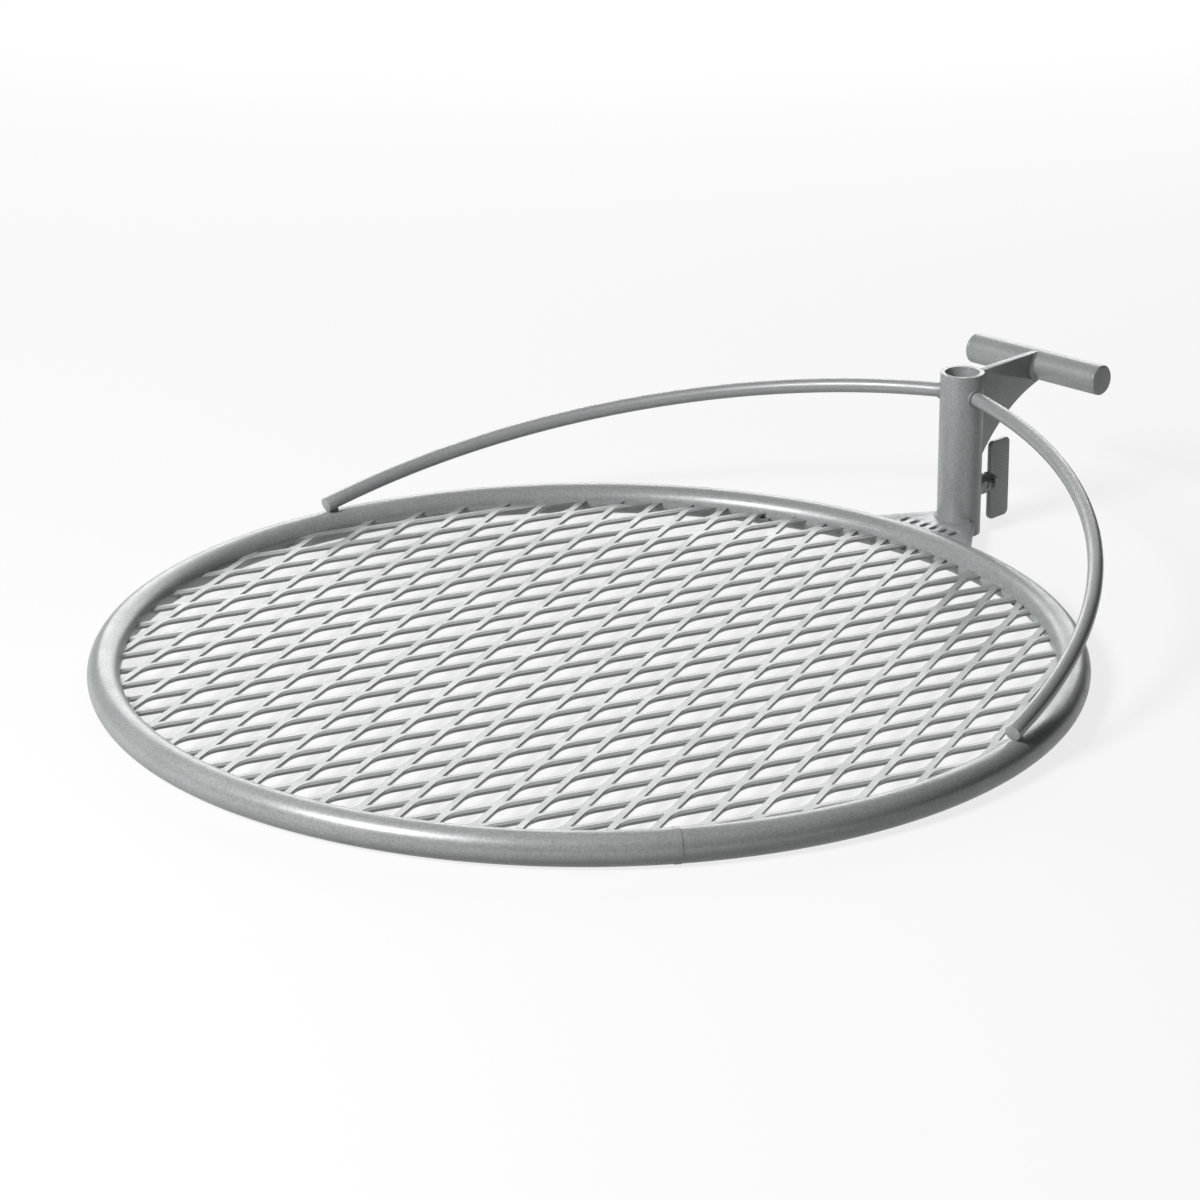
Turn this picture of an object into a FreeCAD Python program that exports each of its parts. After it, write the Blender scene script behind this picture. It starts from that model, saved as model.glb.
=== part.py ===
import FreeCAD, Part
import math
import os
import Sketcher
from FreeCAD import Placement, Rotation, Vector

# A round grill grate that swings on a post: rim, expanded metal deck, support plate, post sleeve, two brace
# rods, T handle and clamp screw. Millimetres. +Z is up along the post. The origin is on the post's axis, at
# the sleeve's lower end, which stands level with the rim's underside. The grate lies towards -Y.

SIZES = [
    # rim: a bent pipe
    ("rim_diameter", 800.0),
    ("rim_tube", 26.7),
    ("rim_wall", 2.9),
    ("seam_angle", 323.5),
    ("seam_width", 5.0),
    ("seam_height", 0.4),
    ("seam_ground_clearance", 0.1),
    # expanded metal deck
    ("mesh_long_pitch", 76.8),
    ("mesh_short_pitch", 33.7),
    ("mesh_stagger", 0.459),
    ("mesh_start_along", 233.5),
    ("mesh_start_across", 63.8),
    ("mesh_bond", 19.0),
    ("mesh_strand", 4.6),
    ("mesh_tip_width", 2.9),
    ("mesh_side_length", 9.3),
    ("mesh_depth", 6.0),
    ("tack_count", 16),
    ("tack_length", 9.0),
    ("tack_leg", 4.0),
    # post sleeve
    ("sleeve_diameter", 38.1),
    ("sleeve_bore", 30.2),
    ("sleeve_height", 145.5),
    ("sleeve_offset", 63.6),
    # support plate between rim and sleeve
    ("plate_thickness", 4.8),
    ("plate_rise", 0.95),
    ("plate_end_width", 42.4),
    ("plate_end_setback", 4.0),
    ("plate_flare", 36.5),
    ("plate_weld_leg", 3.0),
    ("slot_length", 12.5),
    ("slot_width", 5.0),
    ("slot_pitch", 11.0),
    ("slot_count", 6),
    ("slot_inset", 24.6),
    # brace rods
    ("rod_diameter", 12.7),
    ("rod_bend_radius", 494.0),
    ("rod_setdown", 19.5),
    ("rod_turn", 11.5),
    ("rod_foot_angle", 80.3),
    ("rod_weld_leg", 1.6),
    ("foot_weld_start", 1.0),
    ("foot_weld_length", 9.0),
    ("foot_weld_width", 5.0),
    # T handle
    ("handle_diameter", 26.7),
    ("handle_wall", 2.9),
    ("handle_length", 143.0),
    ("handle_reach", 104.5),
    ("handle_proud", 0.65),
    ("cap_thickness", 3.0),
    ("cap_chamfer", 1.2),
    ("gusset_thickness", 6.4),
    ("gusset_setdown", 3.5),
    ("gusset_foot_rise", 18.1),
    ("gusset_arch", 140.4),
    ("gusset_weld_leg", 2.4),
    ("gusset_weld_turn", 62.0),
    # clamp screw, its nut, washers and wing
    ("screw_diameter", 11.1),
    ("screw_clearance", 0.1),
    ("screw_exposed", 11.75),
    ("hole_clearance", 0.45),
    ("tip_recess", 0.05),
    ("tip_chamfer", 1.2),
    ("nut_flats", 17.5),
    ("nut_height", 9.5),
    ("nut_chamfer", 0.9),
    ("nut_weld_leg", 2.0),
    ("washer_diameter", 18.4),
    ("washer_thickness", 2.0),
    ("washer_clearance", 0.3),
    ("washer_gap", 0.5),
    ("washer_spacing", 0.1),
    ("wing_thickness", 4.0),
    ("wing_width", 25.8),
    ("wing_height", 71.8),
    ("wing_ground_clearance", 0.4),
    ("wing_corner", 5.0),
    ("wing_weld_leg", 2.8),
    ("wing_weld_lead", 1.6),
    ("wing_weld_length", 11.0),
]

doc = FreeCAD.newDocument("grill_grate")
sheet = doc.addObject("Spreadsheet::Sheet", "Sizes")
for row, (alias, value) in enumerate(SIZES, start=1):
    sheet.set("A%d" % row, alias)
    sheet.set("B%d" % row, str(value))
    sheet.setAlias("B%d" % row, alias)
doc.recompute()

parts = {}


def size(alias):
    """A driving size as a plain number."""
    return float(getattr(sheet, alias))


def number(expression):
    """The value of an expression written with the sheet's names."""
    value = sheet.evalExpression(expression)
    return float(getattr(value, "Value", value))


def keep(node, item):
    """Names a finished sub-part; its label names its file."""
    item.Label = node
    parts[node] = item
    return item


def new_body(name):
    """An empty body."""
    return doc.addObject("PartDesign::Body", name)


def origin_plane(body, role):
    """One of a body's own origin planes."""
    for feature in body.Origin.OriginFeatures:
        if feature.Role == role:
            return feature
    raise ValueError("no plane " + role)


def new_sketch(body, name, role):
    """A sketch on one of a body's own origin planes."""
    sketch = body.newObject("Sketcher::SketchObject", name)
    sketch.AttachmentSupport = [(origin_plane(body, role), "")]
    sketch.MapMode = "FlatFace"
    return sketch


def pin_point(sketch, geometry, point, across, along):
    """Holds a point of the sketch at two distances from its origin, both given as expressions."""
    for kind, expression in (("DistanceX", across), ("DistanceY", along)):
        index = sketch.addConstraint(Sketcher.Constraint(kind, -1, 1, geometry, point, number(expression)))
        sketch.setExpression("Constraints[%d]" % index, expression)


def add_circle(sketch, across, along, radius):
    """A circle whose centre and radius are expressions."""
    centre = Vector(number(across), number(along), 0)
    circle = sketch.addGeometry(Part.Circle(centre, Vector(0, 0, 1), number(radius)), False)
    pin_point(sketch, circle, 3, across, along)
    index = sketch.addConstraint(Sketcher.Constraint("Radius", circle, number(radius)))
    sketch.setExpression("Constraints[%d]" % index, radius)
    return circle


def add_outline(sketch, corners):
    """A closed outline of straight lines; each corner is a pair of expressions."""
    points = [Vector(number(across), number(along), 0) for across, along in corners]
    count = len(points)
    lines = [
        sketch.addGeometry(Part.LineSegment(points[i], points[(i + 1) % count]), False) for i in range(count)
    ]
    for i, line in enumerate(lines):
        sketch.addConstraint(Sketcher.Constraint("Coincident", line, 2, lines[(i + 1) % count], 1))
        pin_point(sketch, line, 1, corners[i][0], corners[i][1])
    return lines


def add_pad(body, sketch, length, midplane=False):
    """A pad whose length is an expression."""
    pad = body.newObject("PartDesign::Pad", sketch.Name + "_pad")
    pad.Profile = sketch
    pad.setExpression("Length", length)
    if midplane:
        pad.SideType = "Symmetric"
    return pad


def add_through_cut(body, sketch):
    """A pocket that goes through the whole body both ways."""
    pocket = body.newObject("PartDesign::Pocket", sketch.Name + "_cut")
    pocket.Profile = sketch
    pocket.Type = "ThroughAll"
    pocket.SideType = "Symmetric"
    return pocket


def tube_along_z(name, outer, inner, height):
    """A plain tube standing on the origin."""
    body = new_body(name)
    ring = new_sketch(body, name + "_section", "XY_Plane")
    add_circle(ring, "0", "0", outer)
    add_circle(ring, "0", "0", inner)
    add_pad(body, ring, height)
    return body


def solid_feature(name, shape):
    """A sub-part whose shape comes from a function."""
    item = doc.addObject("Part::Feature", name)
    item.Shape = shape
    return item


def single(shape):
    """The shape as one clean solid."""
    solids = shape.Solids
    if len(solids) != 1:
        raise ValueError("expected one solid, got %d" % len(solids))
    return solids[0]


def disc_face(circle):
    """The flat face inside a circle."""
    return Part.Face(Part.Wire(circle.toShape()))


def ring_sector(profile, axis_point, axis, start, sweep):
    """Turns a closed profile in the XZ half-plane about an axis, from a start angle through a sweep."""
    face = Part.Face(Part.Wire(profile))
    face.rotate(axis_point, axis, start)
    return face.revolve(axis_point, axis, sweep)


# Places that several pieces share, as expressions

SLEEVE_REACH = "(Sizes.rim_diameter / 2 + Sizes.sleeve_offset)"
PLATE_TOP = "(Sizes.rim_tube / 2 + Sizes.plate_rise)"
PLATE_RIM_EDGE = "Sizes.rim_diameter / 2"
GUSSET_TOP = "(Sizes.sleeve_height - Sizes.gusset_setdown)"
HANDLE_LEVEL = "(%s + Sizes.handle_proud - Sizes.handle_diameter / 2)" % GUSSET_TOP
SCREW_LEVEL = "(Sizes.wing_height / 2 + Sizes.wing_ground_clearance)"
GUSSET_FOOT = "(%s + Sizes.gusset_foot_rise)" % SCREW_LEVEL
NUT_FACE = "(Sizes.sleeve_diameter / 2 + Sizes.nut_height)"
WING_FACE = "(%s + Sizes.screw_exposed)" % NUT_FACE
SCREW_TIP = "(Sizes.sleeve_bore / 2 + Sizes.tip_recess)"

# The same places as numbers

RIM_CENTRE = Vector(0, -number(SLEEVE_REACH), size("rim_tube") / 2)
RIM_RADIUS = (size("rim_diameter") - size("rim_tube")) / 2
TUBE_RADIUS = size("rim_tube") / 2
SLEEVE_RADIUS = size("sleeve_diameter") / 2
ROD_RADIUS = size("rod_diameter") / 2
ROD_BEND = size("rod_bend_radius")
DECK_STRIPS = 9
SLOPE_PASSES = 6
MATCH = 0.01
UP = Vector(0, 0, 1)
OUTWARD = Vector(0, 1, 0)


def rim_solid():
    """The rim as a solid ring without its bore, to cut against."""
    ring = Part.makeTorus(RIM_RADIUS, TUBE_RADIUS)
    ring.translate(RIM_CENTRE)
    return ring


def sleeve_solid():
    """The sleeve as a solid post, to cut against."""
    return Part.makeCylinder(SLEEVE_RADIUS, size("sleeve_height"))


# Rim


def make_rim_ring():
    """A pipe bent into a full ring."""
    body = new_body("rim_body")
    section = new_sketch(body, "rim_section", "XZ_Plane")
    centre = "(Sizes.rim_diameter - Sizes.rim_tube) / 2"
    add_circle(section, centre, "0", "Sizes.rim_tube / 2")
    add_circle(section, centre, "0", "Sizes.rim_tube / 2 - Sizes.rim_wall")
    turn = body.newObject("PartDesign::Revolution", "rim_turn")
    turn.Profile = section
    turn.ReferenceAxis = (section, ["V_Axis"])
    turn.Angle = 360
    body.setExpression("Placement.Base.y", "-" + SLEEVE_REACH)
    body.setExpression("Placement.Base.z", "Sizes.rim_tube / 2")
    return keep("rim_ring", body)


def make_rim_butt_weld():
    """A low bead round the pipe, open where the deck's edge meets it and where the rim stands on the ground."""
    outer = Part.Circle(Vector(RIM_RADIUS, 0, 0), OUTWARD, TUBE_RADIUS + size("seam_height"))
    inner = Part.Circle(Vector(RIM_RADIUS, 0, 0), OUTWARD, TUBE_RADIUS)
    face = disc_face(outer).cut(disc_face(inner)).Faces[0]
    sweep = math.degrees(size("seam_width") / RIM_RADIUS)
    face.rotate(Vector(), UP, size("seam_angle") - sweep / 2)
    bead = face.revolve(Vector(), UP, sweep)
    depth = size("mesh_depth")
    deck = Part.makeCylinder(RIM_RADIUS - TUBE_RADIUS, depth, Vector(0, 0, -depth / 2))
    ground = Part.makeCylinder(size("rim_diameter"), TUBE_RADIUS, Vector(0, 0, -2 * TUBE_RADIUS))
    ground.translate(UP * size("seam_ground_clearance"))
    bead = Part.makeCompound(bead.cut([deck, ground]).Solids)
    bead.translate(RIM_CENTRE)
    return keep("rim_butt_weld", solid_feature("rim_seam", bead))


# Expanded metal deck


def mesh_opening(across, along):
    """One six-sided opening, long along Y, about its centre."""
    half_long = (size("mesh_long_pitch") - size("mesh_bond")) / 2
    half_short = (size("mesh_short_pitch") - size("mesh_strand")) / 2
    shoulder = size("mesh_side_length") / 2
    tip = size("mesh_tip_width") / 2
    outline = [
        (tip, -half_long),
        (half_short, -shoulder),
        (half_short, shoulder),
        (tip, half_long),
        (-tip, half_long),
        (-half_short, shoulder),
        (-half_short, -shoulder),
        (-tip, -half_long),
    ]
    points = [Vector(across + x, along + y, 0) for x, y in outline]
    return Part.Face(Part.makePolygon(points + points[:1]))


def mesh_centres(reach):
    """Centres of all openings within a distance of the deck's middle: rows along X, every second row pushed
    along Y."""
    pitch_along = size("mesh_long_pitch")
    pitch_across = size("mesh_short_pitch") / 2
    rows = int(2 * reach / pitch_across) + 1
    columns = int(2 * reach / pitch_along) + 1
    centres = []
    for row in range(-rows, rows + 1):
        across = size("mesh_start_across") + row * pitch_across
        push = size("mesh_stagger") * pitch_along if row % 2 else 0.0
        for column in range(-columns, columns + 1):
            along = push - size("mesh_start_along") + column * pitch_along
            if math.hypot(across, along) < reach:
                centres.append((across, along))
    return centres


def deck_strip(disc, openings, low, high):
    """The deck between two lines along Y, as one or more solids."""
    reach = size("rim_diameter")
    strip = Part.makePlane(high - low, 2 * reach, Vector(low, -reach, 0)).common(disc)
    near = [item for item in openings if item.BoundBox.XMax > low and item.BoundBox.XMin < high]
    return strip.cut(Part.makeCompound(near)).extrude(Vector(0, 0, size("mesh_depth"))).Solids


def make_mesh_deck():
    """A sheet with rows of long openings, cut to the rim's inside. It is put together from strips, so that
    none of its faces has hundreds of holes."""
    radius = RIM_RADIUS - TUBE_RADIUS
    disc = disc_face(Part.Circle(Vector(), UP, radius))
    openings = [
        mesh_opening(across, along) for across, along in mesh_centres(radius + size("mesh_long_pitch") / 2)
    ]
    strip_width = 2 * radius / DECK_STRIPS
    strips = []
    for i in range(DECK_STRIPS):
        strips += deck_strip(disc, openings, i * strip_width - radius, (i + 1) * strip_width - radius)
    deck = strips[0].multiFuse(strips[1:])
    deck = max(deck.Solids, key=lambda item: item.Volume)
    deck.translate(RIM_CENTRE - Vector(0, 0, size("mesh_depth") / 2))
    return keep("mesh_deck", solid_feature("deck", deck))


def wall_offset(height):
    """How far the rim's surface stands from its centre line at a height above its middle."""
    return math.sqrt(TUBE_RADIUS**2 - height**2)


def corner_bead(level, direction, side, leg):
    """Profile between a level face and the rim's wall: level is measured from the rim's middle, direction is
    the way up from the face (+1 or -1), side is -1 inside the ring and +1 outside it."""
    levels = (level, level + direction * leg / 2, level + direction * leg)
    low, middle, high = (Vector(RIM_RADIUS + side * wall_offset(z), 0, z) for z in levels)
    foot = Vector(RIM_RADIUS + side * (wall_offset(level) + leg), 0, level)
    return [
        Part.Arc(low, middle, high).toShape(),
        Part.LineSegment(high, foot).toShape(),
        Part.LineSegment(foot, low).toShape(),
    ]


def make_mesh_tack_welds():
    """Short beads in the corner under the deck's edge, evenly round from the rim's seam."""
    count = round(size("tack_count"))
    sweep = math.degrees(size("tack_length") / (RIM_RADIUS - TUBE_RADIUS))
    beads = []
    for i in range(count):
        start = size("seam_angle") + 360.0 * (i + 0.5) / count - sweep / 2
        profile = corner_bead(-size("mesh_depth") / 2, -1, -1, size("tack_leg"))
        beads.append(single(ring_sector(profile, Vector(), UP, start, sweep)))
    group = Part.makeCompound(beads)
    group.translate(RIM_CENTRE)
    return keep("mesh_tack_welds", solid_feature("tacks", group))


# Support plate


def make_support_plate():
    """A flat plate that flares from the sleeve to the rim and fits round both."""
    body = new_body("plate_body")
    run = "(Sizes.sleeve_offset + Sizes.rim_tube)"
    end = "Sizes.plate_end_width / 2"
    wide = end + " + (%s - Sizes.plate_end_setback) * tan(Sizes.plate_flare)" % run
    outline = new_sketch(body, "plate_outline", "XY_Plane")
    corners = [
        ("-(%s)" % end, "-Sizes.plate_end_setback"),
        ("-(%s)" % wide, "-%s" % run),
        (wide, "-%s" % run),
        (end, "-Sizes.plate_end_setback"),
    ]
    add_outline(outline, corners)
    add_pad(body, outline, "Sizes.plate_thickness")
    rim_edge = new_sketch(body, "plate_rim_edge", "XY_Plane")
    add_circle(rim_edge, "0", "-" + SLEEVE_REACH, PLATE_RIM_EDGE)
    add_through_cut(body, rim_edge)
    sleeve_edge = new_sketch(body, "plate_sleeve_edge", "XY_Plane")
    add_circle(sleeve_edge, "0", "0", "Sizes.sleeve_diameter / 2")
    add_through_cut(body, sleeve_edge)
    doc.recompute()
    slots = new_sketch(body, "plate_slots", "XY_Plane")
    for i in range(round(size("slot_count"))):
        add_slot(slots, "(%d - (Sizes.slot_count - 1) / 2) * Sizes.slot_pitch" % i)
    add_through_cut(body, slots)
    body.setExpression("Placement.Base.z", PLATE_TOP + " - Sizes.plate_thickness")
    return keep("support_plate", body)


def add_slot(sketch, across):
    """A round-ended slot along Y, at a distance across that is an expression."""
    radius = number("Sizes.slot_width / 2")
    near = "Sizes.slot_inset - Sizes.sleeve_offset + (Sizes.slot_length - Sizes.slot_width) / 2"
    far = "Sizes.slot_inset - Sizes.sleeve_offset - (Sizes.slot_length - Sizes.slot_width) / 2"
    high = Vector(number(across), number(near), 0)
    low = Vector(number(across), number(far), 0)
    side = Vector(radius, 0, 0)
    top_arc = sketch.addGeometry(Part.ArcOfCircle(Part.Circle(high, UP, radius), 0, math.pi), False)
    low_arc = sketch.addGeometry(Part.ArcOfCircle(Part.Circle(low, UP, radius), math.pi, 2 * math.pi), False)
    left = sketch.addGeometry(Part.LineSegment(high - side, low - side), False)
    right = sketch.addGeometry(Part.LineSegment(low + side, high + side), False)
    for first, end_one, second, end_two in (
        (top_arc, 2, left, 1),
        (left, 2, low_arc, 1),
        (low_arc, 2, right, 1),
        (right, 2, top_arc, 1),
    ):
        sketch.addConstraint(Sketcher.Constraint("Tangent", first, end_one, second, end_two))
    index = sketch.addConstraint(Sketcher.Constraint("Radius", top_arc, radius))
    sketch.setExpression("Constraints[%d]" % index, "Sizes.slot_width / 2")
    pin_point(sketch, top_arc, 3, across, near)
    pin_point(sketch, low_arc, 3, across, far)


def plate_levels():
    """The plate's two faces, measured from the rim's middle, with the way out of each."""
    top = size("plate_rise")
    return [(top, 1), (top - size("plate_thickness"), -1)]


def make_plate_rim_welds():
    """A bead above and one under the plate, along the rim."""
    leg = size("plate_weld_leg")
    run = size("sleeve_offset") - size("plate_end_setback")
    half_width = size("plate_end_width") / 2 + run * math.tan(math.radians(size("plate_flare")))
    half_angle = math.degrees(math.asin((half_width - leg / 2) * 2 / size("rim_diameter")))
    beads = []
    for level, direction in plate_levels():
        profile = corner_bead(level, direction, 1, leg)
        beads.append(single(ring_sector(profile, Vector(), UP, 90 - half_angle, 2 * half_angle)))
    group = Part.makeCompound(beads)
    group.translate(RIM_CENTRE)
    return keep("plate_rim_welds", solid_feature("rim_beads", group))


def upright_bead(level, direction, leg):
    """Profile in the corner between a level face and the sleeve's wall."""
    corner = Vector(SLEEVE_RADIUS, 0, level)
    foot = Vector(SLEEVE_RADIUS + leg, 0, level)
    top = Vector(SLEEVE_RADIUS, 0, level + direction * leg)
    lines = [(corner, foot), (foot, top), (top, corner)]
    return [Part.LineSegment(a, b).toShape() for a, b in lines]


def make_plate_sleeve_welds():
    """A bead above and one under the plate, round the near half of the sleeve."""
    leg = size("plate_weld_leg")
    start = math.degrees(math.asin((size("plate_end_setback") + leg) / SLEEVE_RADIUS))
    sweep = 180 - 2 * start
    beads = []
    for level, direction in plate_levels():
        profile = upright_bead(RIM_CENTRE.z + level, direction, leg)
        beads.append(single(ring_sector(profile, Vector(), UP, 180 + start, sweep)))
    return keep("plate_sleeve_welds", solid_feature("sleeve_beads", Part.makeCompound(beads)))


# Post sleeve


def make_post_sleeve():
    """A thick tube with one cross hole for the clamp screw on its outer side."""
    body = tube_along_z("sleeve_body", "Sizes.sleeve_diameter / 2", "Sizes.sleeve_bore / 2", "Sizes.sleeve_height")
    doc.recompute()
    hole = new_sketch(body, "screw_hole", "XZ_Plane")
    add_circle(hole, "0", SCREW_LEVEL, "Sizes.screw_diameter / 2 + Sizes.hole_clearance")
    pocket = body.newObject("PartDesign::Pocket", "screw_hole_cut")
    pocket.Profile = hole
    pocket.Type = "Length"
    pocket.setExpression("Length", "Sizes.sleeve_diameter")
    doc.recompute()
    wall_middle = (SLEEVE_RADIUS + size("sleeve_bore") / 2) / 2
    if body.Shape.isInside(Vector(0, wall_middle, number(SCREW_LEVEL)), MATCH, False):
        pocket.Reversed = not pocket.Reversed
    return keep("post_sleeve", body)


# Brace rods


def rod_arc():
    """The right rod's centre line, a round arc in a plane that slopes about the X direction. Gives the plane's
    slope in degrees, the arc's centre, and the angles of its foot and of its upper end in that plane."""
    turn = math.radians(size("rod_turn"))
    height = size("sleeve_height") - size("rod_setdown")
    top = Vector(SLEEVE_RADIUS * math.cos(turn), -SLEEVE_RADIUS * math.sin(turn), height)
    round_rim = math.radians(size("rod_foot_angle"))
    foot = RIM_CENTRE + Vector(math.sin(round_rim), math.cos(round_rim), 0) * RIM_RADIUS
    slope = 0.0
    for _ in range(SLOPE_PASSES):
        foot.z = size("rim_tube") + ROD_RADIUS * math.cos(slope)
        slope = math.atan2(top.z - foot.z, top.y - foot.y)
    across = top.x - foot.x
    along = math.hypot(top.y - foot.y, top.z - foot.z)
    chord = math.hypot(across, along)
    rise = math.sqrt(ROD_BEND**2 - chord**2 / 4)
    centre_across = across / 2 - rise * along / chord
    centre_along = along / 2 + rise * across / chord
    foot_angle = math.atan2(-centre_along, -centre_across)
    top_angle = math.atan2(along - centre_along, across - centre_across)
    centre = foot + Vector(centre_across, centre_along * math.cos(slope), centre_along * math.sin(slope))
    return math.degrees(slope), centre, math.degrees(foot_angle), math.degrees(top_angle)


def rod_frame():
    """Stands at the arc's centre with its X axis towards the rod's foot and its Y axis along the rod there."""
    slope, centre, foot_angle, _ = rod_arc()
    return Placement(centre, Rotation(Vector(1, 0, 0), slope).multiply(Rotation(UP, foot_angle)))


def rod_sweep():
    """The angle that the rod turns through from its foot to the sleeve's wall, in degrees."""
    _, _, foot_angle, top_angle = rod_arc()
    return top_angle - foot_angle


def along_rod(length):
    """The angle that a length along the rod turns through, in degrees."""
    return math.degrees(length / ROD_BEND)


def rod_body(name):
    """The right rod as a turned section, from its foot to inside the sleeve's wall, before it is coped."""
    body = new_body(name)
    section = new_sketch(body, name + "_section", "XZ_Plane")
    add_circle(section, "Sizes.rod_bend_radius", "0", "Sizes.rod_diameter / 2")
    turn = body.newObject("PartDesign::Revolution", name + "_turn")
    turn.Profile = section
    turn.ReferenceAxis = (section, ["V_Axis"])
    turn.Angle = rod_sweep() + along_rod(SLEEVE_RADIUS)
    body.Placement = rod_frame()
    return body


def make_brace_rods():
    """Two mirrored rods, each with its upper end shaped to the sleeve."""
    rod = rod_body("rod_body")
    post = doc.addObject("Part::Cylinder", "rod_cope")
    post.setExpression("Radius", "Sizes.sleeve_diameter / 2")
    post.setExpression("Height", "2 * Sizes.sleeve_height")
    right = doc.addObject("Part::Cut", "rod_right")
    right.Base = rod
    right.Tool = post
    left = doc.addObject("Part::Mirroring", "rod_left")
    left.Source = right
    left.Normal = (1, 0, 0)
    keep("brace_rod_right", right)
    keep("brace_rod_left", left)


def mirror_pair(shape):
    """A shape and its mirror image across the grate's middle plane."""
    return Part.makeCompound([shape, shape.mirror(Vector(), Vector(1, 0, 0))])


def rod_piece(radius, start, sweep):
    """A length of round section along the right rod's centre line, at angles counted from its foot."""
    face = disc_face(Part.Circle(Vector(ROD_BEND, 0, 0), OUTWARD, radius))
    face.rotate(Vector(), UP, start)
    piece = face.revolve(Vector(), UP, sweep)
    piece.Placement = rod_frame()
    return piece


def make_rod_sleeve_welds():
    """A narrow bead round each rod where it meets the sleeve."""
    leg = size("rod_weld_leg")
    start = rod_sweep() - along_rod(leg)
    collar = rod_piece(ROD_RADIUS + leg, start, along_rod(SLEEVE_RADIUS))
    rod = rod_piece(ROD_RADIUS, start - along_rod(leg), along_rod(SLEEVE_RADIUS + 2 * leg))
    bead = collar.cut([rod, sleeve_solid()])
    outer = max(bead.Solids, key=lambda item: item.CenterOfMass.x)
    return keep("rod_sleeve_welds", solid_feature("rod_beads", mirror_pair(outer)))


def make_rod_foot_welds():
    """A wedge of weld between the underside of each rod's foot and the crest of the rim."""
    width = size("foot_weld_width")
    length = size("foot_weld_length")
    block = Part.makeBox(width, length, size("rod_diameter"))
    block.translate(Vector(ROD_BEND - width / 2, size("foot_weld_start"), -size("rod_diameter")))
    block.Placement = rod_frame().multiply(block.Placement)
    rod = rod_piece(ROD_RADIUS, 0, along_rod(2 * (length + size("foot_weld_start"))))
    bead = block.cut([rod, rim_solid()])
    above = max(bead.Solids, key=lambda item: item.CenterOfMass.z)
    return keep("rod_foot_welds", solid_feature("foot_beads", mirror_pair(above)))


# T handle and its gusset


def arch_centre():
    """Centre of the round lower edge of the gusset, which runs from the sleeve to the handle's underside."""
    low = Vector(0, SLEEVE_RADIUS, number(GUSSET_FOOT))
    high = Vector(0, size("handle_reach"), number(HANDLE_LEVEL) - size("handle_diameter") / 2)
    chord = high - low
    rise = math.sqrt(size("gusset_arch") ** 2 - chord.Length**2 / 4)
    normal = Vector(0, chord.z, -chord.y).normalize()
    return (low + high) * 0.5 + normal * rise


def make_handle_gusset():
    """An upright plate fitted round the sleeve and the handle, with an arched lower edge."""
    body = new_body("gusset_body")
    outline = new_sketch(body, "gusset_outline", "YZ_Plane")
    corners = [
        ("0", GUSSET_FOOT),
        ("Sizes.handle_reach", GUSSET_FOOT),
        ("Sizes.handle_reach", GUSSET_TOP),
        ("0", GUSSET_TOP),
    ]
    add_outline(outline, corners)
    add_pad(body, outline, "Sizes.gusset_thickness", midplane=True)
    arch = new_sketch(body, "gusset_lower_edge", "YZ_Plane")
    centre = arch_centre()
    circle = Part.Circle(Vector(centre.y, centre.z, 0), UP, size("gusset_arch"))
    index = arch.addGeometry(circle, False)
    arch.addConstraint(Sketcher.Constraint("DistanceX", -1, 1, index, 3, centre.y))
    arch.addConstraint(Sketcher.Constraint("DistanceY", -1, 1, index, 3, centre.z))
    radius = arch.addConstraint(Sketcher.Constraint("Radius", index, size("gusset_arch")))
    arch.setExpression("Constraints[%d]" % radius, "Sizes.gusset_arch")
    add_through_cut(body, arch)
    seat = new_sketch(body, "gusset_handle_seat", "YZ_Plane")
    add_circle(seat, "Sizes.handle_reach", HANDLE_LEVEL, "Sizes.handle_diameter / 2")
    add_through_cut(body, seat)
    cope = new_sketch(body, "gusset_sleeve_seat", "XY_Plane")
    add_circle(cope, "0", "0", "Sizes.sleeve_diameter / 2")
    add_through_cut(body, cope)
    return keep("handle_gusset", body)


def make_gusset_sleeve_welds():
    """An upright bead on each face of the gusset, along the sleeve."""
    leg = size("gusset_weld_leg")
    half = size("gusset_thickness") / 2
    low = number(GUSSET_FOOT)
    corners = [
        Vector(half, 0, low),
        Vector(half + leg, 0, low),
        Vector(half + leg, math.sqrt(SLEEVE_RADIUS**2 - (half + leg) ** 2), low),
        Vector(half, math.sqrt(SLEEVE_RADIUS**2 - half**2) + leg, low),
    ]
    height = number(GUSSET_TOP) - leg - low
    prism = Part.Face(Part.makePolygon(corners + corners[:1])).extrude(UP * height)
    arch = Part.makeCylinder(size("gusset_arch"), half + 2 * leg, arch_centre(), Vector(1, 0, 0))
    bead = single(prism.cut([sleeve_solid(), arch]))
    return keep("gusset_sleeve_welds", solid_feature("gusset_beads", mirror_pair(bead)))


def make_gusset_handle_welds():
    """A curved bead on each face of the gusset, round the near side of the handle."""
    leg = size("gusset_weld_leg")
    half = size("gusset_thickness") / 2
    radius = size("handle_diameter") / 2
    middle = Vector(0, size("handle_reach"), number(HANDLE_LEVEL))
    corner = Vector(half, middle.y - radius, middle.z)
    along_tube = corner + Vector(leg, 0, 0)
    along_plate = corner - Vector(0, leg, 0)
    lines = [(corner, along_tube), (along_tube, along_plate), (along_plate, corner)]
    face = Part.Face(Part.Wire([Part.LineSegment(a, b).toShape() for a, b in lines]))
    lift = math.degrees(math.asin((radius - size("handle_proud")) / (radius + leg)))
    face.rotate(middle, Vector(1, 0, 0), -lift)
    bead = single(face.revolve(middle, Vector(1, 0, 0), lift + size("gusset_weld_turn")))
    return keep("gusset_handle_welds", solid_feature("handle_beads", mirror_pair(bead)))


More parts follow.
